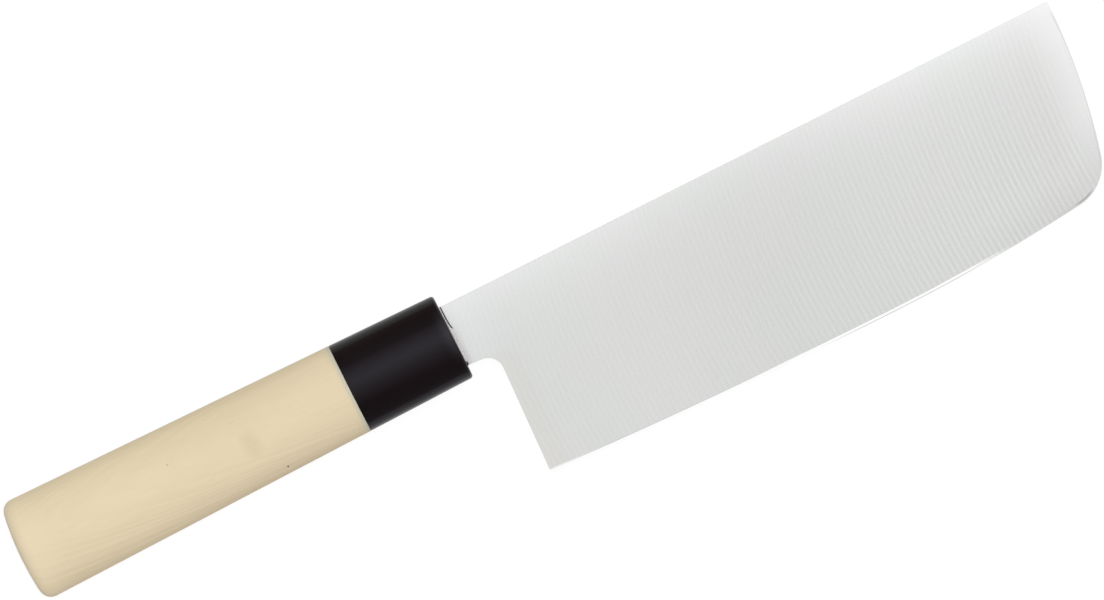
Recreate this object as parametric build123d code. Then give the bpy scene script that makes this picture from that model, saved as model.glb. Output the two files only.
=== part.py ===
from build123d import *
import math
import os

# Nakiri kitchen knife, lying on its side. Millimetres.
# +X runs along the handle towards the blade's front end, +Y from the cutting edge towards the
# spine, and +Z out of the blade's side. While the pieces are being made, X is 0 at the mouth of
# the ferrule, and the handle's axis and the middle of the blade's thickness are at Y 0, Z 0.
# At the end everything is moved so that the origin is under the middle of the whole knife.

# Blade, seen from its side
blade_length = 177.8          # heel to front end, seven inches
heel_setback = 7.1            # mouth of the ferrule to the heel point
spine_rise = 8.7              # straight spine above the handle's axis
heel_height = 53.8            # spine to heel point
belly_fall = 2.8              # deepest point of the cutting edge below the heel point
belly_place = 103.0           # heel to the deepest point of the cutting edge
belly_radius = 520.0          # cutting edge ahead of its deepest point
front_radius = 173.0          # long curve of the front end
corner_radius = 13.0          # rounded lower corner of the front end
tip_radius = 0.6              # upper corner of the front end

# Blade, across its thickness
spine_thickness = 2.0         # sheet that the blade and its tang are stamped from
front_thickness = 1.9         # at the front end of the spine
edge_thickness = 0.36         # behind the cutting bevel, at the deepest point
bevel_angle = 13.0            # degrees, each cutting bevel from the blade's middle
spine_ease = 0.3              # softened arrises along the spine

# Neck and throat
neck_drop = 8.8               # underside of the neck below the handle's axis, at the mouth
neck_fall = 0.65              # further fall of the underside at the throat
throat_radius = 4.5
heel_lean = 1.46              # heel point behind the top of the heel's back edge
neck_seat = 4.0               # neck inside the ferrule's slot
neck_root = 0.8               # neck left as thick as the sheet in front of the mouth

# Tang
tang_length = 92.0            # mouth of the ferrule to the end of the tang
tang_root_height = 11.0
tang_end_height = 7.0
tang_corner_radius = 1.5
notch_radius = 1.5            # keying notches in the tang's two edges
notch_from_end = 14.0

# Handle as a whole, an oval of four arcs that grows alike all round towards the butt
handle_length = 131.8         # mouth of the ferrule to the butt
front_height = 24.75          # across Y at the mouth
front_width = 18.4            # across Z at the mouth
front_end_radius = 7.0        # the oval's top and bottom at the mouth
butt_height = 29.05

# Ferrule
ferrule_length = 31.4
ferrule_wall = 3.2            # least wall round the socket
front_wall = 9.0              # solid end that holds the slot
slot_clearance = 0.15         # between the slot's walls and the neck
mouth_rim_radius = 0.9
joint_ease = 0.12             # fine bevels where the ferrule and the wood meet

# Grip
bond_clearance = 0.05         # glue line round the spigot and the bedding
spigot_end_gap = 0.5          # glue space between the spigot and the socket's floor
hole_height = 12.4            # tang hole
hole_width = 3.8
hole_spare = 2.5              # hole beyond the end of the tang
butt_dome = 1.3               # crown of the butt's end
butt_crown_drop = 2.0         # top of the crown below the handle's axis
butt_edge_radius = 3.5

# Bead of sealant round the neck
seal_lip = 0.8                # beyond the neck's two sides
seal_end_lip = 0.12           # beyond the neck's top and underside
seal_stand = 0.45             # proud of the ferrule's face

overrun = 5.0                 # cutting shapes pass the faces that they cut by this much

# Places that follow from the sizes
front_reach = heel_setback + blade_length
heel = Vector(heel_setback, spine_rise - heel_height)
belly = Vector(heel_setback + belly_place, heel.Y - belly_fall)
throat = Vector(heel_setback + heel_lean, -neck_drop - neck_fall)
neck_height = spine_rise + neck_drop
neck_middle = (spine_rise - neck_drop) / 2
rear_radius = (belly_place**2 + belly_fall**2) / (2 * belly_fall)


def lower_crossing(centre_a, radius_a, centre_b, radius_b):
    """Return the lower of the two points where two circles cross."""
    span = centre_b - centre_a
    along = (radius_a**2 - radius_b**2 + span.length**2) / (2 * span.length)
    aside = math.sqrt(radius_a**2 - along**2)
    foot = centre_a + span.normalized() * along
    across = Vector(span.Y, -span.X).normalized() * aside
    return min(foot + across, foot - across, key=lambda point: point.Y)


# Centres of the arcs that make the front end and the cutting edge, each tangent to the next
front_centre = Vector(front_reach - front_radius, spine_rise)
belly_centre = Vector(belly.X, belly.Y + belly_radius)
rear_centre = Vector(belly.X, belly.Y + rear_radius)
corner_centre = lower_crossing(front_centre, front_radius - corner_radius,
                               belly_centre, belly_radius - corner_radius)
forward = Vector(1, 0)
down = Vector(0, -1)
to_front = (corner_centre - front_centre).normalized()
to_belly = (corner_centre - belly_centre).normalized()
to_heel = (heel - rear_centre).normalized()


def arc(centre, radius, start, end):
    """Return the short arc about a centre between two directions."""
    middle = (start + end).normalized()
    return ThreePointArc(centre + start * radius, centre + middle * radius, centre + end * radius)


def blade_plan():
    """Return the blade's outline from the seated end of the neck to the front end."""
    seat_top = Vector(-neck_seat, spine_rise)
    front_top = Vector(front_reach, spine_rise)
    mouth_foot = Vector(0, -neck_drop)
    seat_foot = Vector(-neck_seat, -neck_drop)
    outline = [
        Line(seat_top, front_top),
        arc(front_centre, front_radius, forward, to_front),
        arc(corner_centre, corner_radius, to_front, to_belly),
        arc(belly_centre, belly_radius, to_belly, down),
        arc(rear_centre, rear_radius, down, to_heel),
        Polyline(heel, throat, mouth_foot, seat_foot, seat_top),
    ]
    plan = make_face(outline)
    throat_corner = plan.vertices().sort_by_distance(throat)[0]
    return fillet(throat_corner, throat_radius)


def sharpening_plan(inset):
    """Return the region above the cutting edge, with the edge moved inwards by inset.

    Past the start of the front end's rounded corner the edge of the region runs straight on, so
    that the cutting bevels run out over the corner and leave the front end square.
    """
    past_heel = math.asin((belly_place + overrun) / rear_radius)
    to_past_heel = Vector(-math.sin(past_heel), -math.cos(past_heel))
    rear_foot = rear_centre + to_past_heel * (rear_radius - inset)
    belly_end = belly_centre + to_belly * (belly_radius - inset)
    onward = Vector(-to_belly.Y, to_belly.X)
    front_end = belly_end + onward * (2 * corner_radius)
    top = spine_rise + overrun
    front_top = Vector(front_end.X, top)
    rear_top = Vector(-neck_seat - overrun, top)
    rear_end = Vector(-neck_seat - overrun, rear_foot.Y)
    return make_face([
        arc(rear_centre, rear_radius - inset, to_past_heel, down),
        arc(belly_centre, belly_radius - inset, down, to_belly),
        Polyline(belly_end, front_end, front_top, rear_top, rear_end, rear_foot),
    ])


def tip_waste():
    """Return what comes off the upper corner of the front end to round it."""
    centre = Pos(front_reach - tip_radius, spine_rise - tip_radius)
    square = centre * Pos(overrun / 2, overrun / 2) * Rectangle(overrun, overrun)
    return extrude(square - centre * Circle(tip_radius), amount=spine_thickness, both=True)


def ground_side(side):
    """Return the plane of one ground side, with side 1 for +Z and -1 for -Z."""
    root_spine = Vector(neck_root, spine_rise, side * spine_thickness / 2)
    front_spine = Vector(front_reach, spine_rise, side * front_thickness / 2)
    deepest = Vector(belly.X, belly.Y, side * edge_thickness / 2)
    outward = (deepest - root_spine).cross(front_spine - root_spine) * side
    return Plane(origin=root_spine, z_dir=outward)


def tang_plan():
    """Return the stick tang's outline, with its root inside the neck."""
    root = -neck_seat / 2
    plan = make_face(Polyline(
        (root, tang_root_height / 2),
        (root, -tang_root_height / 2),
        (-tang_length, -tang_end_height / 2),
        (-tang_length, tang_end_height / 2),
        close=True,
    ))
    plan = fillet(plan.vertices().sort_by(Axis.X)[:2], tang_corner_radius)
    notch_x = -tang_length + notch_from_end
    slope = (tang_root_height - tang_end_height) / 2 / (tang_length + root)
    notch_y = tang_end_height / 2 + slope * notch_from_end
    for side in (1, -1):
        plan -= Pos(notch_x, side * notch_y) * Circle(notch_radius)
    return plan


def make_blade():
    """Return the blade with its ground sides, cutting bevels, neck and tang."""
    sheet = extrude(blade_plan(), amount=spine_thickness / 2, both=True)
    plunge = Plane.YZ.offset(neck_root)
    body = split(sheet, bisect_by=plunge, keep=Keep.TOP)
    for side in (1, -1):
        body = split(body, bisect_by=ground_side(side), keep=Keep.BOTTOM)
    body += split(sheet, bisect_by=plunge, keep=Keep.BOTTOM)
    spine_face = body.faces().sort_by(Axis.Y)[-1]
    body = fillet(spine_face.edges().filter_by(lambda edge: edge.length > neck_height), spine_ease)
    depth = spine_thickness / 2 + spine_ease
    inset = depth / math.tan(math.radians(bevel_angle))
    upper = loft([sharpening_plan(0), Pos(0, 0, depth) * sharpening_plan(inset)], ruled=True)
    body &= upper + mirror(upper, about=Plane.XY)
    body -= tip_waste()
    return body + extrude(tang_plan(), amount=spine_thickness / 2, both=True)


def oval(x, growth):
    """Return the handle's oval across its axis at x, grown all round from its size at the mouth."""
    end_centre = front_height / 2 - front_end_radius
    end_radius = front_end_radius + growth
    half_width = front_width / 2 + growth
    side_radius = ((half_width**2 + end_centre**2 - end_radius**2)
                   / (2 * (half_width - end_radius)))
    side_centre = side_radius - half_width
    turns = [Vector(end_centre * y, side_centre * z).normalized()
             for y, z in ((1, -1), (1, 1), (-1, 1), (-1, -1))]
    outline = [
        arc(Vector(end_centre, 0), end_radius, turns[0], turns[1]),
        arc(Vector(0, -side_centre), side_radius, turns[1], turns[2]),
        arc(Vector(-end_centre, 0), end_radius, turns[2], turns[3]),
        arc(Vector(0, side_centre), side_radius, turns[3], turns[0]),
    ]
    return Plane.YZ.offset(x) * make_face(outline)


def handle_blank(x_front, x_rear):
    """Return the tapered handle between two distances along its axis."""
    taper = (butt_height - front_height) / 2 / handle_length
    return loft([oval(x_front, -x_front * taper), oval(x_rear, -x_rear * taper)], ruled=True)


def socket_fill(x_rear, x_front, clearance):
    """Return the straight filling of the ferrule's socket, smaller all round by clearance."""
    return extrude(oval(x_rear, -ferrule_wall - clearance), amount=x_front - x_rear)


def block(x_low, x_high, height, width, y_middle=0):
    """Return a box between two distances along the handle's axis."""
    middle = Pos((x_low + x_high) / 2, y_middle, 0)
    return middle * Box(x_high - x_low, height, width)


def tang_hole(x_low, x_high, clearance):
    """Return the round-ended tang hole, made smaller all round by clearance."""
    outline = SlotOverall(hole_height - 2 * clearance, hole_width - 2 * clearance)
    return extrude(Plane.YZ.offset(x_low) * outline, amount=x_high - x_low)


def make_ferrule():
    """Return the collar with its neck slot in front and its socket behind."""
    ferrule = handle_blank(0, -ferrule_length)
    ferrule = fillet(ferrule.faces().sort_by(Axis.X)[-1].edges(), mouth_rim_radius)
    ferrule = chamfer(ferrule.faces().sort_by(Axis.X)[0].edges(), joint_ease)
    ferrule -= socket_fill(-ferrule_length - overrun, -front_wall, 0)
    ferrule -= block(-front_wall - overrun, overrun, neck_height + 2 * slot_clearance,
                     spine_thickness + 2 * slot_clearance, neck_middle)
    return ferrule


def make_grip():
    """Return the wooden handle with its domed butt, spigot and tang hole."""
    grip = handle_blank(-ferrule_length, -handle_length - overrun)
    crown_radius = ((butt_height / 2)**2 + butt_dome**2) / (2 * butt_dome)
    crown = Pos(crown_radius - handle_length, -butt_crown_drop, 0) * Sphere(crown_radius)
    grip &= crown
    grip = fillet(grip.faces().sort_by(Axis.X)[0].edges(), butt_edge_radius)
    grip = chamfer(grip.faces().sort_by(Axis.X)[-1].edges(), joint_ease)
    spigot_end = -front_wall - spigot_end_gap
    grip += socket_fill(-ferrule_length - overrun, spigot_end, bond_clearance)
    grip -= tang_hole(-tang_length - hole_spare, spigot_end + overrun, 0)
    return grip


def make_tang_bedding(blade):
    """Return the resin round the tang, in the ferrule's slot and the grip's hole."""
    slot_gap = slot_clearance - bond_clearance
    bedding = block(-front_wall, -neck_seat, neck_height + 2 * slot_gap,
                    spine_thickness + 2 * slot_gap, neck_middle)
    hole_end = -tang_length - hole_spare + bond_clearance
    bedding += tang_hole(hole_end, -front_wall, bond_clearance)
    return bedding - blade


def make_mouth_seal(blade):
    """Return the bead round the neck on the ferrule's front face."""
    bead = block(0, seal_stand, neck_height + 2 * seal_end_lip,
                 spine_thickness + 2 * seal_lip, neck_middle)
    bead = fillet(bead.edges().filter_by(Axis.X), seal_lip)
    bead = chamfer(bead.faces().sort_by(Axis.X)[-1].edges(), seal_stand / 2)
    return bead - blade


blade = make_blade()
pieces = {
    "blade": blade,
    "ferrule": make_ferrule(),
    "grip": make_grip(),
    "tang_bedding": make_tang_bedding(blade),
    "mouth_seal": make_mouth_seal(blade),
}

# The origin goes under the middle of the whole knife, on the surface that it lies on
whole = Compound(children=[Compound([piece]) for piece in pieces.values()]).bounding_box()
to_origin = Pos(-whole.center().X, -whole.center().Y, -whole.min.Z)

os.makedirs("parts", exist_ok=True)
for name, piece in pieces.items():
    export_step(to_origin * piece, f"parts/{name}.step")
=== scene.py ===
import math

import bpy
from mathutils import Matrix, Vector

# A nakiri knife on its side on a white table. Metres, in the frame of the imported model:
# +X along the handle towards the blade's front end, +Y towards the spine, +Z upwards.

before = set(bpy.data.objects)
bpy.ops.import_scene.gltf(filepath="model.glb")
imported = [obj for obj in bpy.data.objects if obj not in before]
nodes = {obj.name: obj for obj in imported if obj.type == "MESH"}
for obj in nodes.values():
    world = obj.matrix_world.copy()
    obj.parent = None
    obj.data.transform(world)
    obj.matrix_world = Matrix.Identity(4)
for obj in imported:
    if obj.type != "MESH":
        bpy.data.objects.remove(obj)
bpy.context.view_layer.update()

MM_PER_M = 1000.0

# Places on the knife
HANDLE_Y = 0.0167251            # m, the handle's axis
BLADE_Z = 0.0112857             # m, the middle of the blade's thickness
MOUTH_X = -0.0265495            # m, the ferrule's front
SPINE_Y = 0.0254251             # m
BUTT_X = -0.1583495             # m
NECK_LOW_Y = 0.0078             # m, the neck's lower side at the ferrule
WOOD_FRONT_X = -0.0579495       # m, where the wood meets the ferrule

# Camera, straight above, with the knife turned against the picture's width
VIEW_POINT = (0.0018705, 0.0134641, BLADE_Z)
VIEW_TURN = -26.73              # degrees
VIEW_HEIGHT = 3.99645           # m, above the view point
VIEW_LENS = 480.0               # mm
SENSOR_WIDTH = 36.0             # mm

# Light
DAYLIGHT = 0.55                 # strength of the room's light on the knife
LAMP_POWER = 7.6                # W
TABLE_GLOW = 0.92               # of the table top, where it is looked at
TABLE_HALF = 3.0                # m
TABLE_TONE = (0.62, 0.62, 0.62, 1.0)        # for the light that it throws back on the knife
SHADOW_TONE = (0.12, 0.12, 0.12, 1.0)       # how strongly the shadow on it shows
WHITE = (1.0, 1.0, 1.0, 1.0)


# helpers for materials

def put(tree, kind, inputs=None, **settings):
    """Add one shader node, and link or set its inputs."""
    made = tree.nodes.new(kind)
    for name, value in settings.items():
        setattr(made, name, value)
    for key, value in (inputs or {}).items():
        if isinstance(value, bpy.types.NodeSocket):
            tree.links.new(value, made.inputs[key])
        else:
            made.inputs[key].default_value = value
    return made


def calc(tree, operation, a, b=0.0, c=0.0, clamp=False):
    """Add one calculation and return its result."""
    made = put(tree, "ShaderNodeMath", {0: a, 1: b, 2: c}, operation=operation, use_clamp=clamp)
    return made.outputs[0]


def ramp(tree, value, start, end, low=0.0, high=1.0, way="SMOOTHSTEP"):
    """Return low up to start and high from end on, with a smooth or a straight way between."""
    made = put(tree, "ShaderNodeMapRange",
               {"Value": value, "From Min": start, "From Max": end, "To Min": low, "To Max": high},
               interpolation_type=way)
    return made.outputs["Result"]


def between(tree, value, start, full, fade, end):
    """Return 1 from full to fade, falling to 0 at start and at end."""
    rising = ramp(tree, value, start, full)
    return calc(tree, "MULTIPLY", rising, ramp(tree, value, fade, end, 1.0, 0.0))


def noise(tree, vector, scale=1.0, detail=2.0, roughness=0.5):
    """Return a noise's value, from 0 to 1."""
    made = put(tree, "ShaderNodeTexNoise",
               {"Vector": vector, "Scale": scale, "Detail": detail, "Roughness": roughness})
    return made.outputs["Fac"]


def swing(tree, value):
    """Return how far a noise's value is from its middle."""
    return calc(tree, "SUBTRACT", value, 0.5)


def blend(tree, share, first, second, blend_type="MIX"):
    """Return a mix of two colours."""
    made = tree.nodes.new("ShaderNodeMix")
    made.data_type = "RGBA"
    made.blend_type = blend_type
    for socket, value in ((made.inputs[0], share), (made.inputs[6], first), (made.inputs[7], second)):
        if isinstance(value, bpy.types.NodeSocket):
            tree.links.new(value, socket)
        else:
            socket.default_value = value
    return made.outputs[2]


def place(tree, centre=(0.0, 0.0, 0.0), stretch=(1.0, 1.0, 1.0)):
    """Return the piece's own coordinates about a centre, stretched."""
    coords = put(tree, "ShaderNodeTexCoord").outputs["Object"]
    moved = put(tree, "ShaderNodeMapping",
                {"Vector": coords, "Location": [-c for c in centre]}).outputs["Vector"]
    return put(tree, "ShaderNodeMapping", {"Vector": moved, "Scale": stretch}).outputs["Vector"]


def axes(tree, vector):
    """Return a vector's three parts."""
    parts = put(tree, "ShaderNodeSeparateXYZ", {"Vector": vector})
    return parts.outputs["X"], parts.outputs["Y"], parts.outputs["Z"]


def join(tree, x=0.0, y=0.0, z=0.0):
    """Return a vector made of three parts."""
    return put(tree, "ShaderNodeCombineXYZ", {"X": x, "Y": y, "Z": z}).outputs["Vector"]


def start_group(name, inputs, outputs):
    """Return a new node group with its input and output nodes."""
    tree = bpy.data.node_groups.new(name, "ShaderNodeTree")
    for label, kind, default in inputs:
        socket = tree.interface.new_socket(label, in_out="INPUT", socket_type=kind)
        if default is not None:
            socket.default_value = default
    for label, kind in outputs:
        tree.interface.new_socket(label, in_out="OUTPUT", socket_type=kind)
    return tree, tree.nodes.new("NodeGroupInput"), tree.nodes.new("NodeGroupOutput")


def use_group(tree, group, inputs):
    """Place a node group in a tree and return it."""
    return put(tree, "ShaderNodeGroup", inputs, node_tree=group)


def blank_material(name):
    """Return a new material, its tree and its output, which is all that is in it."""
    material = bpy.data.materials.new(name)
    material.use_nodes = True
    tree = material.node_tree
    tree.nodes.clear()
    return material, tree, tree.nodes.new("ShaderNodeOutputMaterial")


def start_finish(name):
    """Return a new material, its tree and its surface shader."""
    material, tree, output = blank_material(name)
    shader = tree.nodes.new("ShaderNodeBsdfPrincipled")
    tree.links.new(shader.outputs["BSDF"], output.inputs["Surface"])
    return material, tree, shader


def add_relief(tree, shader, height, strength, depth):
    """Give a finish its fine relief, with the depth in metres."""
    bump = put(tree, "ShaderNodeBump", {"Height": height, "Strength": strength, "Distance": depth})
    tree.links.new(bump.outputs["Normal"], shader.inputs["Normal"])


def dress(node, material):
    """Give a CAD node its finish."""
    piece = nodes[node]
    piece.data.materials.clear()
    piece.data.materials.append(material)


# effects shared by finishes

def make_surface_tooth():
    """A fine even tooth and slow cloudy change, as on any handled surface."""
    tree, given, put_out = start_group(
        "surface_tooth",
        [("Vector", "NodeSocketVector", None), ("Tooth per metre", "NodeSocketFloat", 3000.0),
         ("Clouds per metre", "NodeSocketFloat", 60.0)],
        [("Tooth", "NodeSocketFloat"), ("Clouds", "NodeSocketFloat")])
    vector = given.outputs["Vector"]
    tooth = noise(tree, vector, given.outputs["Tooth per metre"], 3.0, 0.6)
    clouds = noise(tree, vector, given.outputs["Clouds per metre"], 3.0, 0.55)
    tree.links.new(tooth, put_out.inputs["Tooth"])
    tree.links.new(clouds, put_out.inputs["Clouds"])
    return tree


# The dark seam beside the ferrule
SEAM_TOP_Y = 25.2               # mm, at the spine
SEAM_LENGTH = 6.7               # mm
SEAM_HALF_WIDTH = 0.2           # mm
SEAM_START = 0.41               # mm, from the ferrule's front to the seam's upper end
SEAM_SWING = 0.52               # mm, how much further off its lower end is
SEAM_CURL = 5.0                 # how late the seam swings away
SEAM_STRENGTH = 0.95
SEAM_BLACK = (0.03, 0.03, 0.03, 1.0)


def make_dark_seam():
    """Strength of the dark seam beside the ferrule, where the bead has drawn back from the neck."""
    tree, given, put_out = start_group(
        "dark_seam", [("Vector", "NodeSocketVector", None)], [("Seam", "NodeSocketFloat")])
    x, y, z = axes(tree, given.outputs["Vector"])
    down = calc(tree, "DIVIDE", calc(tree, "MULTIPLY_ADD", y, -MM_PER_M, SEAM_TOP_Y), SEAM_LENGTH)
    curl = calc(tree, "POWER", calc(tree, "MAXIMUM", down, 0.0), SEAM_CURL)
    seam_x = calc(tree, "MULTIPLY_ADD", curl, SEAM_SWING, MOUTH_X * MM_PER_M + SEAM_START)
    off = calc(tree, "MULTIPLY_ADD", x, MM_PER_M, calc(tree, "MULTIPLY", seam_x, -1.0))
    off = calc(tree, "ABSOLUTE", off)
    seam = ramp(tree, off, 0.5 * SEAM_HALF_WIDTH, 1.2 * SEAM_HALF_WIDTH, 1.0, 0.0)
    seam = calc(tree, "MULTIPLY", seam, ramp(tree, down, 0.9, 1.02, 1.0, 0.0))
    seam = calc(tree, "MULTIPLY", seam, calc(tree, "GREATER_THAN", z, BLADE_Z))
    tree.links.new(seam, put_out.inputs["Seam"])
    return tree


surface_tooth = make_surface_tooth()
dark_seam = make_dark_seam()


# ground steel

MIDDLE_X = 0.065                # m, where the blade's sides are dullest
GRIND_PITCH = 1.582             # mm, from one wheel mark to the next
GRIND_RADIUS = 230.0            # mm, of the arcs that the marks follow
GRIND_LEVEL = -12.3             # mm, the height at which the arcs run straight across
EDGE_LOW_X = 83.5505            # mm, where the cutting edge is lowest
EDGE_LOW_Y = -31.175            # mm
EDGE_REAR_RADIUS = 1895.86      # mm, of the edge behind its lowest place
EDGE_BELLY_RADIUS = 520.0       # mm, of the edge in front of it
FRONT_PEAK_X = 158.16           # mm, the front end's foremost place
FRONT_PEAK_Y = 19.0             # mm
FRONT_END_RADIUS = 125.0        # mm
CORNER_X = 140.158              # mm, the middle of the lower front corner's arc
CORNER_Y = -15.005              # mm
BEVEL_TILT = (0.955, 0.965, 0.985, 0.990)      # upward part of the cutting bevel's normal
ARRIS_TILT = (0.05, 0.10, 0.990, 0.995)        # and of the spine's rounded arris

# Along the blade (m), where the steel's effects begin and end
MARKS_GROW_X = (0.020, 0.122)
MARKS_FADE_X = (0.126, 0.142)
SPINE_GLOW_X = (0.060, 0.150)
NECK_GLOW_X = (-0.0228, -0.0120)
CORNER_SHADE_X = (0.095, 0.145)
NECK_COOL_X = (-0.021, -0.006)
HEEL_WARM_X = (-0.0160, -0.0108)
POLISH_ENDS_X = (0.1046, 0.1218)
DULL_EDGE_X = (0.128, 0.142)
UNPOLISHED_FROM_X = (-0.018, 0.0)
UNPOLISHED_TO_X = (0.038, 0.056)
EDGE_LINE_X = (0.060, 0.076, 0.104, 0.116)
CORNER_LINE_X = (0.1398, 0.1420, 0.1452, 0.1468)

# The same, from the line that each comment names (mm)
SPINE_GLOW_REACH = 10.0                        # below the spine
ARRIS_END = (0.5, 1.0)                         # below the spine
NOSE_END = (0.35, 0.75)                        # behind the front end
POLISH_TOP = (0.72, 0.80)                      # above the cutting edge
EDGE_LINE_TOP = (0.08, 0.30)                   # above the cutting edge
CORNER_LINE_OUT = (12.1, 12.35, 12.5, 12.8)    # from the middle of the corner's arc
LAST_MARKS = (147.0, 150.0)                    # across the marks, from the frame's origin

# How strong they are
DARK_LEVEL = 0.60               # brightness level that shows as dark steel
PALE_LEVEL = 0.95               # brightness level that shows as pale steel
SIDE_LEVEL = 0.671              # of the plain side, away from every glow
SPINE_GLOW = (0.11, 0.175)      # added to the level at the spine, at the back and at the front
FRONT_GLOW = 0.125
NECK_GLOW = (0.022, 0.004)      # on the neck, and in front of it
ENDS_GLOW = 0.023               # at both ends
CLOUD_STRENGTH = 0.035          # in the level, as the next three
CORNER_SHADE = 0.05
MARK_STRENGTH = 0.0072
SCRATCH_STRENGTH = 0.008
MARK_DRIFT = 0.5                # pitches, how far the marks wander
MARK_UNEVENNESS = 3.2
MARK_GAIN = 4.8                 # how much deeper they get towards the front
MARK_DEPTH = 0.0000024          # m, of their relief
EDGE_LINE_STRENGTH = 0.9
CORNER_LINE_STRENGTH = 0.6
NOSE_STRENGTH = 0.38
BY_FERRULE_STRENGTH = 0.9
LOWER_BY_FERRULE_STRENGTH = 0.3
STEEL_ROUGHNESS = 0.26

# Colours of the steel, the last three to multiply with
DARK_STEEL = (0.600, 0.602, 0.592, 1.0)
PALE_STEEL = (0.948, 0.950, 0.948, 1.0)
POLISHED_STEEL = (0.985, 0.990, 0.985, 1.0)
UNPOLISHED_STEEL = (0.650, 0.650, 0.645, 1.0)
DULL_CORNER = (0.62, 0.62, 0.61, 1.0)
BRIGHT_ARRIS = (1.0, 1.0, 0.995, 1.0)
EDGE_GREY = (0.50, 0.50, 0.49, 1.0)
CORNER_GREY = (0.30, 0.30, 0.30, 1.0)
BY_FERRULE_GREY = (0.685, 0.652, 0.652, 1.0)
LOWER_BY_FERRULE_GREY = (0.58, 0.57, 0.57, 1.0)
COOL_TINT = (0.985, 1.0, 1.0, 1.0)
WARM_TINT = (0.988, 0.972, 0.958, 1.0)
GREENISH_TINT = (0.986, 1.0, 0.994, 1.0)


def make_blade_places():
    """Places on the blade in millimetres: across and along the wheel marks, and from its edges."""
    tree, given, put_out = start_group(
        "blade_places",
        [("Vector", "NodeSocketVector", None)],
        [("Across", "NodeSocketFloat"), ("Along", "NodeSocketFloat"),
         ("Below spine", "NodeSocketFloat"), ("Behind front", "NodeSocketFloat"),
         ("Above edge", "NodeSocketFloat")])
    x, y = axes(tree, given.outputs["Vector"])[:2]
    x_mm = calc(tree, "MULTIPLY", x, MM_PER_M)
    y_mm = calc(tree, "MULTIPLY", y, MM_PER_M)

    along = calc(tree, "SUBTRACT", y_mm, GRIND_LEVEL)
    sag = calc(tree, "MULTIPLY", calc(tree, "MULTIPLY", along, along), -0.5 / GRIND_RADIUS)
    across = calc(tree, "ADD", x_mm, sag)
    below = calc(tree, "SUBTRACT", SPINE_Y * MM_PER_M, y_mm)

    drop = calc(tree, "SUBTRACT", y_mm, FRONT_PEAK_Y)
    curve = calc(tree, "MULTIPLY", calc(tree, "MULTIPLY", drop, drop), 0.5 / FRONT_END_RADIUS)
    behind = calc(tree, "SUBTRACT", calc(tree, "SUBTRACT", FRONT_PEAK_X, x_mm), curve)

    run = calc(tree, "SUBTRACT", x_mm, EDGE_LOW_X)
    square = calc(tree, "MULTIPLY", run, run)
    ahead = calc(tree, "GREATER_THAN", run, 0.0)
    bend = calc(tree, "MULTIPLY_ADD", ahead, 0.5 / EDGE_BELLY_RADIUS - 0.5 / EDGE_REAR_RADIUS,
                0.5 / EDGE_REAR_RADIUS)
    edge_y = calc(tree, "MULTIPLY_ADD", square, bend, EDGE_LOW_Y)
    above = calc(tree, "SUBTRACT", y_mm, edge_y)

    for name, value in (("Across", across), ("Along", along), ("Below spine", below),
                        ("Behind front", behind), ("Above edge", above)):
        tree.links.new(value, put_out.inputs[name])
    return tree


def drawn_out_noise(tree, across, along, stretch, layer, detail, roughness):
    """Return a noise stretched along the wheel marks, each layer another part of it."""
    spot = join(tree, calc(tree, "MULTIPLY", across, stretch[0]),
                calc(tree, "MULTIPLY", along, stretch[1]), layer)
    return noise(tree, spot, 1.0, detail, roughness)


def make_wheel_marks():
    """Even wheel marks with their small irregularities, from about -1 to 1."""
    tree, given, put_out = start_group(
        "wheel_marks",
        [("Across", "NodeSocketFloat", 0.0), ("Along", "NodeSocketFloat", 0.0)],
        [("Marks", "NodeSocketFloat"), ("Scratches", "NodeSocketFloat"),
         ("Streaks", "NodeSocketFloat")])
    across, along = given.outputs["Across"], given.outputs["Along"]
    drift = drawn_out_noise(tree, across, along, (0.03, 0.03), 0.0, 1.0, 0.5)
    drift = calc(tree, "MULTIPLY", drift, MARK_DRIFT)
    turns = calc(tree, "MULTIPLY_ADD", across, 1.0 / GRIND_PITCH, drift)
    angle = calc(tree, "MULTIPLY", turns, 2.0 * math.pi)
    first = calc(tree, "COSINE", angle)
    second = calc(tree, "COSINE", calc(tree, "MULTIPLY_ADD", angle, 2.0, -1.0))
    even = calc(tree, "MULTIPLY_ADD", second, 0.16, first)
    uneven = drawn_out_noise(tree, across, along, (0.55, 0.28), 3.0, 2.0, 0.6)
    strength = calc(tree, "MULTIPLY_ADD", swing(tree, uneven), MARK_UNEVENNESS, 1.0)
    marks = calc(tree, "MULTIPLY", even, calc(tree, "MAXIMUM", strength, 0.1))

    fine = drawn_out_noise(tree, across, along, (3.4, 0.10), 7.0, 3.0, 0.6)
    finest = drawn_out_noise(tree, across, along, (9.0, 0.22), 11.0, 2.0, 0.6)
    scratches = calc(tree, "ADD", swing(tree, fine), swing(tree, finest))
    streaks = drawn_out_noise(tree, across, along, (0.9, 0.035), 5.0, 3.0, 0.65)
    tree.links.new(marks, put_out.inputs["Marks"])
    tree.links.new(scratches, put_out.inputs["Scratches"])
    tree.links.new(swing(tree, streaks), put_out.inputs["Streaks"])
    return tree


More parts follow.
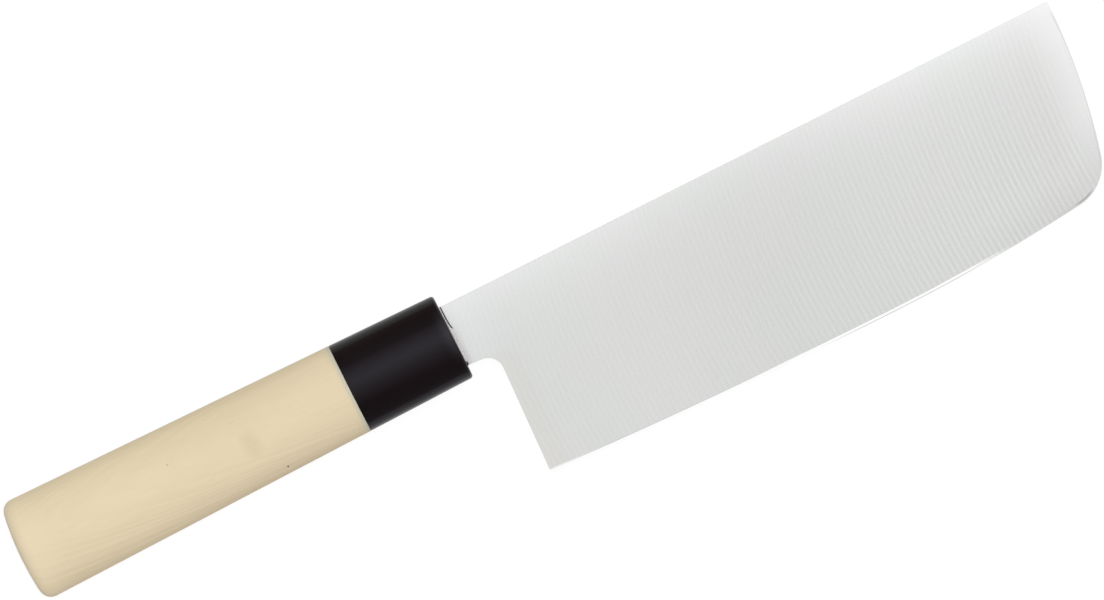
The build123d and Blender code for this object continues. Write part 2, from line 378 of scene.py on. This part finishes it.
def deepen_marks(tree, x, places, marks):
    """Return the wheel marks at the depth that they have from place to place."""
    # They are deepest in the lower half towards the front, and fade before the front end
    below = places["Below spine"]
    forward = calc(tree, "POWER", ramp(tree, x, *MARKS_GROW_X, 0.0, 1.0, "LINEAR"), 1.6)
    forward = calc(tree, "MULTIPLY", forward, ramp(tree, x, *MARKS_FADE_X, 0.85, 0.66))
    lower = ramp(tree, below, 4.0, 40.0, 0.10, 0.88, "LINEAR")
    even_depth = ramp(tree, below, 5.0, 46.0, 0.8, 1.25, "LINEAR")
    depth = calc(tree, "MULTIPLY_ADD", calc(tree, "MULTIPLY", forward, lower), MARK_GAIN, even_depth)
    depth = calc(tree, "MULTIPLY", depth, ramp(tree, places["Across"], *LAST_MARKS, 1.0, 0.12))
    return calc(tree, "MULTIPLY", marks, depth)


def colour_sides(tree, x, places, marks, scratches, clouds):
    """Return the colour of the ground sides."""
    # They are brighter along the spine, on the neck and towards both ends. This is painted highlight
    # standing in for how the light falls on the steel; towards the front end it is partly also a finer
    # finish where the marks fade
    below = places["Below spine"]
    spine_glow = calc(tree, "EXPONENT", calc(tree, "MULTIPLY", below, -1.0 / SPINE_GLOW_REACH))
    spine_glow = calc(tree, "MULTIPLY", spine_glow, ramp(tree, x, *SPINE_GLOW_X, *SPINE_GLOW))
    front_glow = ramp(tree, places["Behind front"], -2.0, 13.5, FRONT_GLOW, 0.0)
    front_glow = calc(tree, "MULTIPLY", front_glow, ramp(tree, below, 28.0, 46.0, 1.0, 0.15))
    front_glow = calc(tree, "MULTIPLY", front_glow, ramp(tree, below, 0.0, 12.0, 0.6, 1.0))
    neck_glow = ramp(tree, x, *NECK_GLOW_X, *NECK_GLOW)
    from_middle = calc(tree, "ABSOLUTE", calc(tree, "SUBTRACT", x, MIDDLE_X))
    ends_glow = ramp(tree, from_middle, 0.005, 0.055, 0.0, ENDS_GLOW)
    level = calc(tree, "ADD", calc(tree, "ADD", spine_glow, front_glow),
                 calc(tree, "ADD", neck_glow, ends_glow))
    level = calc(tree, "MULTIPLY_ADD", swing(tree, clouds), CLOUD_STRENGTH, level)
    corner_shade = calc(tree, "MULTIPLY", ramp(tree, places["Above edge"], 0.0, 11.0, 1.0, 0.0),
                        ramp(tree, x, *CORNER_SHADE_X, 0.0, CORNER_SHADE))
    level = calc(tree, "SUBTRACT", level, corner_shade)
    level = calc(tree, "MULTIPLY_ADD", marks, MARK_STRENGTH, level)
    level = calc(tree, "MULTIPLY_ADD", scratches, SCRATCH_STRENGTH, level)

    # The brightness level picks a colour between dark and pale steel
    span = PALE_LEVEL - DARK_LEVEL
    share = calc(tree, "MULTIPLY_ADD", level, 1.0 / span, (SIDE_LEVEL - DARK_LEVEL) / span, clamp=True)
    side = blend(tree, share, DARK_STEEL, PALE_STEEL)

    # The neck is a touch cooler and the heel a touch warmer than the rest, which is faintly patchy
    cool = calc(tree, "MULTIPLY", ramp(tree, x, *NECK_COOL_X, 1.0, 0.0),
                ramp(tree, below, 15.0, 20.0, 1.0, 0.15))
    side = blend(tree, cool, side, COOL_TINT, "MULTIPLY")
    warm = calc(tree, "MULTIPLY", ramp(tree, x, *HEEL_WARM_X, 1.0, 0.0),
                ramp(tree, below, 16.0, 21.0))
    side = blend(tree, warm, side, WARM_TINT, "MULTIPLY")
    tints = noise(tree, place(tree, (0.05, 0.0, 0.0), (42.0, 30.0, 30.0)))
    return blend(tree, ramp(tree, tints, 0.40, 0.60), side, GREENISH_TINT, "MULTIPLY")


def colour_bevel(tree, x, places, bevel, side):
    """Return the sides' colour with the cutting bevel's over it."""
    # The bevel's polish ends before the front corner, whose own edge is dull
    polish = ramp(tree, x, *POLISH_ENDS_X, 1.0, 0.0)
    dull = ramp(tree, x, *DULL_EDGE_X)
    bevel_colour = blend(tree, polish, side, POLISHED_STEEL)
    bevel_colour = blend(tree, dull, bevel_colour, DULL_CORNER)
    colour = blend(tree, bevel, side, bevel_colour)
    # Behind the middle the polish stops short of the bevel's top, which is about as dull as the side
    unpolished = calc(tree, "MULTIPLY", bevel, ramp(tree, places["Above edge"], *POLISH_TOP))
    unpolished = calc(tree, "MULTIPLY", unpolished, ramp(tree, x, *UNPOLISHED_FROM_X, 0.35, 1.0))
    unpolished = calc(tree, "MULTIPLY", unpolished, ramp(tree, x, *UNPOLISHED_TO_X, 1.0, 0.0))
    return blend(tree, unpolished, colour, UNPOLISHED_STEEL)


def line_edges(tree, x, y, places, colour):
    """Return the colour with the fine lines at the cutting edge and the front end over it."""
    # A fine line runs along the very edge, and a darker one round the lower front corner
    edge_line = calc(tree, "MULTIPLY", ramp(tree, places["Above edge"], *EDGE_LINE_TOP, 1.0, 0.0),
                     between(tree, x, *EDGE_LINE_X))
    colour = blend(tree, calc(tree, "MULTIPLY", edge_line, EDGE_LINE_STRENGTH), colour, EDGE_GREY)
    from_corner = calc(tree, "MULTIPLY_ADD", x, MM_PER_M, -CORNER_X)
    up_corner = calc(tree, "MULTIPLY_ADD", y, MM_PER_M, -CORNER_Y)
    out = calc(tree, "SQRT", calc(tree, "MULTIPLY_ADD", from_corner, from_corner,
                                  calc(tree, "MULTIPLY", up_corner, up_corner)))
    corner_line = calc(tree, "MULTIPLY", between(tree, out, *CORNER_LINE_OUT),
                       between(tree, x, *CORNER_LINE_X))
    corner_line = calc(tree, "MULTIPLY", corner_line, calc(tree, "LESS_THAN", up_corner, 0.0))
    corner_line = calc(tree, "MULTIPLY", corner_line, CORNER_LINE_STRENGTH)
    colour = blend(tree, corner_line, colour, CORNER_GREY)
    # The front end's rounding is painted a shade darker than the side behind it, as painted shade for
    # the darker light it faces
    nose_shade = ramp(tree, places["Behind front"], *NOSE_END, 1.0, 0.0)
    nose_shade = calc(tree, "MULTIPLY", nose_shade, ramp(tree, places["Below spine"], 1.0, 6.0))
    return blend(tree, calc(tree, "MULTIPLY", nose_shade, NOSE_STRENGTH), colour, DARK_STEEL)


def grey_neck_by_ferrule(tree, x, places, colour):
    """Return the colour, darker and pinkish grey on the neck beside the ferrule, and a little darker
    lower down.
    """
    below = places["Below spine"]
    by_ferrule = ramp(tree, x, MOUTH_X + 0.0002, MOUTH_X + 0.0024, 1.0, 0.0)
    by_ferrule = calc(tree, "MULTIPLY", by_ferrule, ramp(tree, below, 4.5, 9.0, 0.1, 1.0))
    colour = blend(tree, calc(tree, "MULTIPLY", by_ferrule, BY_FERRULE_STRENGTH), colour, BY_FERRULE_GREY)
    lower_by_ferrule = calc(tree, "MULTIPLY", ramp(tree, x, MOUTH_X + 0.0002, MOUTH_X + 0.0026, 1.0, 0.0),
                     ramp(tree, below, 10.0, 16.0, 0.0, LOWER_BY_FERRULE_STRENGTH))
    return blend(tree, lower_by_ferrule, colour, LOWER_BY_FERRULE_GREY)


def make_ground_steel():
    """Steel ground across its length, with a polished cutting bevel."""
    material, tree, shader = start_finish("ground_steel")
    coords = place(tree)
    x, y = axes(tree, coords)[:2]
    places = use_group(tree, make_blade_places(), {"Vector": coords}).outputs
    lines = use_group(tree, make_wheel_marks(),
                      {"Across": places["Across"], "Along": places["Along"]}).outputs
    tooth = use_group(tree, surface_tooth, {"Vector": coords, "Clouds per metre": 18.0})
    clouds = tooth.outputs["Clouds"]
    seam = use_group(tree, dark_seam, {"Vector": coords}).outputs["Seam"]
    marks = deepen_marks(tree, x, places, lines["Marks"])

    # The cutting bevel and the spine's rounded arris are told by how far they lean from the flat sides
    normal = put(tree, "ShaderNodeNewGeometry").outputs["True Normal"]
    tilt = calc(tree, "ABSOLUTE", axes(tree, normal)[2])
    bevel = between(tree, tilt, *BEVEL_TILT)
    arris = between(tree, tilt, *ARRIS_TILT)
    arris = calc(tree, "MULTIPLY", arris, ramp(tree, places["Below spine"], *ARRIS_END, 1.0, 0.0))

    colour = colour_sides(tree, x, places, marks, lines["Scratches"], clouds)
    colour = colour_bevel(tree, x, places, bevel, colour)
    colour = blend(tree, arris, colour, BRIGHT_ARRIS)
    colour = line_edges(tree, x, y, places, colour)
    colour = grey_neck_by_ferrule(tree, x, places, colour)
    colour = blend(tree, calc(tree, "MULTIPLY", seam, SEAM_STRENGTH), colour, SEAM_BLACK)
    tree.links.new(colour, shader.inputs["Base Color"])

    # Clouds and streaks show in the gloss too, and the polished bevel is glossier
    rough = calc(tree, "MULTIPLY_ADD", swing(tree, clouds), 0.06, STEEL_ROUGHNESS)
    rough = calc(tree, "MULTIPLY_ADD", lines["Streaks"], 0.16, rough)
    rough = calc(tree, "MULTIPLY", rough, ramp(tree, bevel, 0.0, 1.0, 1.0, 0.4))
    rough = calc(tree, "MULTIPLY_ADD", seam, 0.4, rough)
    tree.links.new(rough, shader.inputs["Roughness"])
    shader.inputs["Metallic"].default_value = 1.0

    # The marks and streaks are shallow relief, nearly flat on the bevel, and the seam is a groove
    relief = calc(tree, "MULTIPLY_ADD", lines["Streaks"], 4.0, marks)
    relief = calc(tree, "MULTIPLY", relief, ramp(tree, bevel, 0.0, 1.0, 1.0, 0.1))
    relief = calc(tree, "MULTIPLY_ADD", seam, -8.0, relief)
    add_relief(tree, shader, relief, 0.5, MARK_DEPTH)
    return material


# pale wood

RING_RUN_OUT = 0.115            # how fast the rings climb along the handle
RING_SLANT = 0.24               # and across it
RING_WARP = 2.6                 # mm, how far they wander
LATE_PER_MM = 1.15              # broad rings
EARLY_PER_MM = 3.1              # and narrow ones between them
END_GRAIN_TILT = (0.75, 0.97)   # part of the wood's normal that runs along the handle
LOW_SIDE_Y = (-0.0122, -0.0078) # m, from the handle's axis
TOP_SIDE_Y = (0.0095, 0.0118)   # m, from the handle's axis
WOOD_ROUGHNESS = 0.58
WOOD_GLOSS = 0.3
WOOD_DEPTH = 0.00004            # m, of its relief

# Colours of the wood, the last four to multiply with
DEEP_WOOD = (0.745, 0.612, 0.402, 1.0)
LIGHT_WOOD = (0.869, 0.746, 0.512, 1.0)
END_GRAIN_TAN = (0.66, 0.50, 0.30, 1.0)
PORE_BROWN = (0.46, 0.32, 0.18, 1.0)
FLECK_BROWN = (0.60, 0.46, 0.28, 1.0)
BUTT_RIM_SHADE = (0.76, 0.56, 0.36, 1.0)
BUTT_LIGHT = (0.866, 0.744, 0.517, 1.0)
JOINT_BROWN = (0.64, 0.57, 0.39, 1.0)
RIM_GREY = (0.74, 0.74, 0.60, 1.0)
MARK_BROWN = (0.10, 0.06, 0.03, 1.0)
SMUDGE_BROWN = (0.60, 0.42, 0.275, 1.0)
FORWARD_PAINTED_SHADE = (0.974, 0.974, 0.980, 1.0)
LOW_SIDE_PAINTED_SHADE = (0.955, 0.935, 0.930, 1.0)
TOP_SIDE_PAINTED_SHADE = (0.985, 0.978, 0.960, 1.0)
JOINT_PAINTED_SHADOW = (0.81, 0.82, 0.87, 1.0)

HANDLE_MIDDLE = (0.0, HANDLE_Y, BLADE_Z)

SMALL_MARKS = (
    # where on the handle (mm), radius (mm), how dark
    ((-82.3, 5.35), 0.28, 0.85),
    ((-111.3, 20.5), 0.25, 0.35),
)
SMUDGES = (
    # where (mm), radius (mm), how dark
    ((-88.7, 17.0), 3.7, 0.42),
    ((-88.3, 13.9), 3.8, 0.34),
)


def near(tree, x, y, spot, inner, outer):
    """Return 1 within the inner radius of a spot, in millimetres, falling to 0 at the outer one."""
    dx = calc(tree, "MULTIPLY_ADD", x, MM_PER_M, -spot[0])
    dy = calc(tree, "MULTIPLY_ADD", y, MM_PER_M, -spot[1])
    far = calc(tree, "SQRT", calc(tree, "MULTIPLY_ADD", dx, dx, calc(tree, "MULTIPLY", dy, dy)))
    return ramp(tree, far, inner, outer, 1.0, 0.0)


def grow_grain(tree, x, y, z, end_grain, fibres, clouds):
    """Return the wood's lightness from ring to ring and fibre to fibre, about 0."""
    # Growth rings lie nearly flat in the handle and run out along it
    warp = noise(tree, place(tree, HANDLE_MIDDLE, (14.0, 60.0, 60.0)))
    rings = calc(tree, "MULTIPLY_ADD", x, RING_RUN_OUT * MM_PER_M, calc(tree, "MULTIPLY", z, MM_PER_M))
    rings = calc(tree, "MULTIPLY_ADD", y, RING_SLANT * MM_PER_M, rings)
    rings = calc(tree, "MULTIPLY_ADD", warp, RING_WARP, rings)
    late = noise(tree, join(tree, calc(tree, "MULTIPLY", rings, LATE_PER_MM), 2.0), detail=1.0)
    early = noise(tree, join(tree, calc(tree, "MULTIPLY", rings, EARLY_PER_MM), 9.0))

    # The figure is plainest along the lower side and on the end grain, and faintest in the middle
    figure = calc(tree, "MULTIPLY_ADD", swing(tree, early), 0.6, swing(tree, late))
    flank = calc(tree, "MAXIMUM", ramp(tree, y, -0.0096, -0.0016, 1.25, 0.32),
                 ramp(tree, y, 0.0070, 0.0115, 0.30, 0.75))
    plain = calc(tree, "MAXIMUM", flank, calc(tree, "MULTIPLY", end_grain, 2.2))
    grain = calc(tree, "MULTIPLY", figure, plain)
    grain = calc(tree, "MULTIPLY_ADD", swing(tree, fibres), 0.5, grain)
    return calc(tree, "MULTIPLY_ADD", swing(tree, clouds), 0.5, grain)


def tone_handle(tree, x, y, colour):
    """Return the colour with its slow changes along and round the handle over it."""
    # Painted shade darkens the wood slightly towards the ferrule, and along its lower and upper sides
    forward = ramp(tree, x, BUTT_X, WOOD_FRONT_X)
    colour = blend(tree, forward, colour, FORWARD_PAINTED_SHADE, "MULTIPLY")
    low_side = ramp(tree, y, *LOW_SIDE_Y, 1.0, 0.0)
    colour = blend(tree, low_side, colour, LOW_SIDE_PAINTED_SHADE, "MULTIPLY")
    top_side = ramp(tree, y, *TOP_SIDE_Y)
    colour = blend(tree, top_side, colour, TOP_SIDE_PAINTED_SHADE, "MULTIPLY")

    # The butt's rim is painted a little darker and tan, as shade on its rounding, and the wood greys
    # and darkens close to the ferrule
    butt_rim_shade = ramp(tree, x, BUTT_X, BUTT_X + 0.0015, 0.3, 0.0)
    colour = blend(tree, butt_rim_shade, colour, BUTT_RIM_SHADE)
    butt_light = ramp(tree, x, BUTT_X, BUTT_X + 0.014, 0.5, 0.0)
    colour = blend(tree, butt_light, colour, BUTT_LIGHT)
    joint_shade = ramp(tree, x, WOOD_FRONT_X - 0.0032, WOOD_FRONT_X - 0.0012, 0.0, 0.4)
    side_share = ramp(tree, calc(tree, "ABSOLUTE", y), 0.006, 0.011, 0.15, 1.0)
    joint_shade = calc(tree, "MULTIPLY", joint_shade, side_share)
    colour = blend(tree, joint_shade, colour, JOINT_BROWN)
    front_rim = ramp(tree, x, WOOD_FRONT_X - 0.0013, WOOD_FRONT_X - 0.0006, 0.0, 0.6)
    colour = blend(tree, front_rim, colour, RIM_GREY)
    # A thin painted shadow darkens the wood where it meets the ferrule
    joint_shadow = ramp(tree, x, WOOD_FRONT_X - 0.00140, WOOD_FRONT_X - 0.00055)
    return blend(tree, joint_shadow, colour, JOINT_PAINTED_SHADOW, "MULTIPLY")


def mark_handling(tree, z, fibres, clouds, colour):
    """Return the colour with small marks of handling over it, only on the side that faces up."""
    over = calc(tree, "GREATER_THAN", z, 0.0)
    plain_x, plain_y = axes(tree, place(tree))[:2]
    for spot, radius, darkness in SMALL_MARKS:
        mark = near(tree, plain_x, plain_y, spot, 0.5 * radius, 1.3 * radius)
        mark = calc(tree, "MULTIPLY", mark, over)
        colour = blend(tree, calc(tree, "MULTIPLY", mark, darkness), colour, MARK_BROWN)
    patchy = calc(tree, "MULTIPLY", ramp(tree, clouds, 0.3, 0.7, 0.25, 0.6), over)
    patchy = calc(tree, "MULTIPLY", patchy, ramp(tree, fibres, 0.35, 0.65, 0.6, 1.4))
    for spot, radius, darkness in SMUDGES:
        smudge = near(tree, plain_x, plain_y, spot, 0.0, radius)
        smudge = calc(tree, "MULTIPLY", smudge, patchy)
        colour = blend(tree, calc(tree, "MULTIPLY", smudge, darkness), colour, SMUDGE_BROWN)
    return colour


def make_pale_wood():
    """Pale close-grained wood, with its growth rings cut at a slight slant."""
    material, tree, shader = start_finish("pale_wood")
    x, y, z = axes(tree, place(tree, HANDLE_MIDDLE))
    fibres = noise(tree, place(tree, stretch=(90.0, 2400.0, 2400.0)), detail=3.0, roughness=0.6)
    flecks = noise(tree, place(tree, stretch=(260.0, 1500.0, 1500.0)), detail=1.0)
    clouds = noise(tree, place(tree, stretch=(22.0, 60.0, 60.0)))
    facing = put(tree, "ShaderNodeNewGeometry").outputs["True Normal"]
    end_grain = ramp(tree, calc(tree, "ABSOLUTE", axes(tree, facing)[0]), *END_GRAIN_TILT)
    grain = grow_grain(tree, x, y, z, end_grain, fibres, clouds)
    shade = calc(tree, "ADD", grain, 0.5, clamp=True)
    colour = blend(tree, shade, DEEP_WOOD, LIGHT_WOOD)

    # The end grain is darker, with open pores, and dark flecks are strewn all over
    pores = noise(tree, place(tree, stretch=(400.0, 1900.0, 1900.0)), detail=1.0)
    pores = calc(tree, "MULTIPLY", ramp(tree, pores, 0.58, 0.68), end_grain)
    colour = blend(tree, calc(tree, "MULTIPLY", end_grain, 0.5), colour, END_GRAIN_TAN)
    colour = blend(tree, calc(tree, "MULTIPLY", pores, 0.35), colour, PORE_BROWN)
    dark = ramp(tree, flecks, 0.70, 0.82, 0.0, 0.25)
    colour = blend(tree, dark, colour, FLECK_BROWN)
    colour = tone_handle(tree, x, y, colour)
    colour = mark_handling(tree, z, fibres, clouds, colour)
    tree.links.new(colour, shader.inputs["Base Color"])

    rough = calc(tree, "MULTIPLY_ADD", swing(tree, fibres), 0.12, WOOD_ROUGHNESS)
    tree.links.new(rough, shader.inputs["Roughness"])
    shader.inputs["Specular IOR Level"].default_value = WOOD_GLOSS
    relief = calc(tree, "MULTIPLY_ADD", grain, 0.5, fibres)
    add_relief(tree, shader, relief, 0.3, WOOD_DEPTH)
    return material


# black ferrule

DEEP_BLACK = (0.0050, 0.0020, 0.0015, 1.0)
SOFT_BLACK = (0.0071, 0.0034, 0.0030, 1.0)
FRONT_HIGHLIGHT_GREY = (0.036, 0.031, 0.034, 1.0)
COOL_GLEAM = (0.76, 0.80, 1.0, 1.0)
BROWN_GLEAM = (0.71, 0.64, 0.64, 1.0)
PLAIN_GLOSS = 0.22
BAND_GLOSS = (0.155, 0.34)      # on the edge side, and in the bright band
FERRULE_ROUGHNESS = 0.27
FERRULE_DEPTH = 0.00002         # m, of its relief


def make_black_ferrule():
    """Satin black moulding, with a painted highlight towards its front rim."""
    material, tree, shader = start_finish("black_ferrule")
    coords = place(tree)
    tooth = use_group(tree, surface_tooth, {"Vector": coords, "Tooth per metre": 5000.0})
    colour = blend(tree, tooth.outputs["Clouds"], DEEP_BLACK, SOFT_BLACK)
    # A painted highlight greys the ferrule towards its front rim, where its rounding catches light
    x, y = axes(tree, coords)[:2]
    front_painted_highlight = ramp(tree, x, MOUTH_X - 0.0045, MOUTH_X - 0.0002, 0.0, 0.76)
    front_painted_highlight = calc(tree, "MULTIPLY", front_painted_highlight, ramp(tree, y, 0.0060, 0.0150))
    front_painted_highlight = calc(tree, "MULTIPLY", front_painted_highlight, ramp(tree, y, 0.0205, 0.0270, 1.0, 0.3))
    colour = blend(tree, calc(tree, "MULTIPLY", front_painted_highlight, front_painted_highlight), colour, FRONT_HIGHLIGHT_GREY)
    tree.links.new(colour, shader.inputs["Base Color"])
    rough = calc(tree, "MULTIPLY_ADD", swing(tree, tooth.outputs["Clouds"]), 0.1, FERRULE_ROUGHNESS)
    tree.links.new(rough, shader.inputs["Roughness"])
    # The gleam is strongest along a band towards the spine, and grows where the surface turns away
    sheen = calc(tree, "MULTIPLY", ramp(tree, y, 0.0130, 0.0181, *BAND_GLOSS),
                 ramp(tree, y, 0.0180, 0.0228, 1.0, 0.55))
    facing = put(tree, "ShaderNodeLayerWeight", {"Blend": 0.5}).outputs["Facing"]
    sheen = calc(tree, "ADD", sheen, ramp(tree, facing, 0.05, 0.46, 0.0, 0.04))
    # A plain level and tint are set as well, for where the linked ones aren't read
    shader.inputs["Specular IOR Level"].default_value = PLAIN_GLOSS
    tree.links.new(sheen, shader.inputs["Specular IOR Level"])
    # It is cool on the broad sides and brownish where they turn towards the spine
    turned = calc(tree, "MULTIPLY", ramp(tree, y, 0.0232, 0.0262, 0.0, 1.0),
                  ramp(tree, y, 0.0281, 0.0290, 1.0, 0.25))
    gleam = blend(tree, turned, COOL_GLEAM, BROWN_GLEAM)
    shader.inputs["Specular Tint"].default_value = COOL_GLEAM
    tree.links.new(gleam, shader.inputs["Specular Tint"])
    add_relief(tree, shader, tooth.outputs["Tooth"], 0.15, FERRULE_DEPTH)
    return material


# bedding and sealant

DEEP_AMBER = (0.42, 0.30, 0.13, 1.0)
LIGHT_AMBER = (0.60, 0.47, 0.24, 1.0)
DEEP_BEAD = (0.73, 0.69, 0.70, 1.0)
LIGHT_BEAD = (0.87, 0.83, 0.84, 1.0)
BEAD_BLACK = (0.02, 0.018, 0.018, 1.0)
RESIN_ROUGHNESS = 0.4
SEALANT_ROUGHNESS = 0.35
CURED_DEPTH = 0.00005           # m, of the relief on both


def make_bedding_resin():
    """Cured amber resin round the tang."""
    material, tree, shader = start_finish("bedding_resin")
    tooth = use_group(tree, surface_tooth, {"Vector": place(tree), "Clouds per metre": 300.0})
    colour = blend(tree, tooth.outputs["Clouds"], DEEP_AMBER, LIGHT_AMBER)
    tree.links.new(colour, shader.inputs["Base Color"])
    shader.inputs["Roughness"].default_value = RESIN_ROUGHNESS
    add_relief(tree, shader, tooth.outputs["Tooth"], 0.3, CURED_DEPTH)
    return material


def make_sealant():
    """Half-clear bead, pale with a faint mauve."""
    material, tree, shader = start_finish("sealant")
    coords = place(tree)
    tooth = use_group(tree, surface_tooth, {"Vector": coords, "Clouds per metre": 400.0})
    colour = blend(tree, tooth.outputs["Clouds"], DEEP_BEAD, LIGHT_BEAD)
    # The bead is dark at the neck's lower corner and in the seam
    y = axes(tree, coords)[1]
    low_end = ramp(tree, y, NECK_LOW_Y + 0.0008, NECK_LOW_Y + 0.0016, 1.0, 0.0)
    colour = blend(tree, low_end, colour, BEAD_BLACK)
    seam = use_group(tree, dark_seam, {"Vector": coords}).outputs["Seam"]
    colour = blend(tree, calc(tree, "MULTIPLY", seam, SEAM_STRENGTH), colour, SEAM_BLACK)
    tree.links.new(colour, shader.inputs["Base Color"])
    shader.inputs["Roughness"].default_value = SEALANT_ROUGHNESS
    add_relief(tree, shader, tooth.outputs["Clouds"], 0.3, CURED_DEPTH)
    return material


dress("blade", make_ground_steel())
dress("grip", make_pale_wood())
dress("ferrule", make_black_ferrule())
dress("tang_bedding", make_bedding_resin())
dress("mouth_seal", make_sealant())


# table, light and camera

def seen_rays(tree):
    """Return 1 for rays that look at a thing straight, in a gloss or through glass."""
    path = put(tree, "ShaderNodeLightPath").outputs
    seen = calc(tree, "ADD", path["Is Camera Ray"], path["Is Glossy Ray"])
    return calc(tree, "ADD", seen, path["Is Transmission Ray"], clamp=True)


def make_table():
    """A white table top that keeps a faint shadow."""
    bpy.ops.mesh.primitive_plane_add(size=2 * TABLE_HALF, location=(0, 0, 0))
    table = bpy.context.object
    table.name = "table_top"
    material, tree, output = blank_material("white_table")
    lit = put(tree, "ShaderNodeBsdfDiffuse", {"Color": TABLE_TONE})
    faint = put(tree, "ShaderNodeBsdfDiffuse", {"Color": SHADOW_TONE})
    glow = put(tree, "ShaderNodeEmission", {"Color": WHITE, "Strength": TABLE_GLOW})
    white = put(tree, "ShaderNodeAddShader", {0: faint.outputs[0], 1: glow.outputs[0]})
    both = put(tree, "ShaderNodeMixShader",
               {0: seen_rays(tree), 1: lit.outputs[0], 2: white.outputs[0]})
    tree.links.new(both.outputs[0], output.inputs["Surface"])
    table.data.materials.append(material)


def make_daylight():
    """An even pale room, white wherever it is looked at."""
    world = bpy.data.worlds.new("pale_room")
    world.use_nodes = True
    bpy.context.scene.world = world
    tree = world.node_tree
    tree.nodes.clear()
    output = tree.nodes.new("ShaderNodeOutputWorld")
    dim = put(tree, "ShaderNodeBackground", {"Color": WHITE, "Strength": DAYLIGHT})
    white = put(tree, "ShaderNodeBackground", {"Color": WHITE, "Strength": 1.0})
    both = put(tree, "ShaderNodeMixShader",
               {0: seen_rays(tree), 1: dim.outputs[0], 2: white.outputs[0]})
    tree.links.new(both.outputs[0], output.inputs["Surface"])


def aim(thing, target):
    """Turn a lamp or a card so that it faces a place."""
    direction = thing.location - Vector(target)
    thing.rotation_euler = direction.to_track_quat("Z", "Y").to_euler()


def make_card(name, where, target, size, tone):
    """Hang a card of an even tone that only reflections see."""
    bpy.ops.mesh.primitive_plane_add(size=1.0, location=where)
    card = bpy.context.object
    card.name = name
    card.scale = (size[0], size[1], 1.0)
    aim(card, target)
    material, tree, output = blank_material(name)
    glow = put(tree, "ShaderNodeEmission", {"Color": (tone, tone, tone, 1.0), "Strength": 1.0})
    tree.links.new(glow.outputs[0], output.inputs["Surface"])
    card.data.materials.append(material)
    card.visible_camera = False
    card.visible_diffuse = False
    card.visible_transmission = False
    card.visible_shadow = False


def make_lamp(name, where, target, size, power):
    """Hang one soft box that reflections don't see."""
    light = bpy.data.lights.new(name, "AREA")
    light.shape = "RECTANGLE"
    light.size, light.size_y = size
    light.energy = power
    lamp = bpy.data.objects.new(name, light)
    bpy.context.scene.collection.objects.link(lamp)
    lamp.location = where
    aim(lamp, target)
    lamp.visible_glossy = False


CARDS = (
    # name, where (m), what it faces (m), size (m), tone
    ("flag_at_the_spine_side", (-0.10, 0.63, 0.285), (-0.10, 0.0, 0.0), (0.46, 0.55), 0.36),
    ("flag_at_the_edge_side", (-0.10, -0.61, 0.355), (-0.10, 0.0, 0.0), (0.46, 0.73), 0.33),
    ("grey_card_at_the_spine_side", (0.0, 1.10, 0.55), (0.0, 0.0, 0.3), (4.6, 1.1), 0.64),
    ("grey_card_at_the_edge_side", (0.0, -1.10, 0.55), (0.0, 0.0, 0.3), (4.6, 1.1), 0.64),
    ("grey_card_ahead", (1.60, 0.0, 0.60), (0.0, 0.0, 0.3), (2.6, 1.3), 0.68),
    ("grey_card_behind", (-1.60, 0.0, 0.60), (0.0, 0.0, 0.3), (2.6, 1.3), 0.68),
)

make_table()
make_daylight()
make_lamp("soft_box_above", (0.05, 0.12, 1.30), (0.0, 0.0, 0.0), (0.7, 0.5), LAMP_POWER)
for card_name, card_where, card_target, card_size, card_tone in CARDS:
    make_card(card_name, card_where, card_target, card_size, card_tone)


def make_camera():
    """Look straight down, as the photograph does."""
    data = bpy.data.cameras.new("camera")
    data.sensor_width = SENSOR_WIDTH
    data.lens = VIEW_LENS
    data.dof.use_dof = False
    camera = bpy.data.objects.new("camera", data)
    bpy.context.scene.collection.objects.link(camera)
    camera.location = (VIEW_POINT[0], VIEW_POINT[1], VIEW_POINT[2] + VIEW_HEIGHT)
    camera.rotation_euler = (0.0, 0.0, math.radians(VIEW_TURN))
    bpy.context.scene.camera = camera


make_camera()
bpy.context.scene.view_settings.view_transform = "Standard"
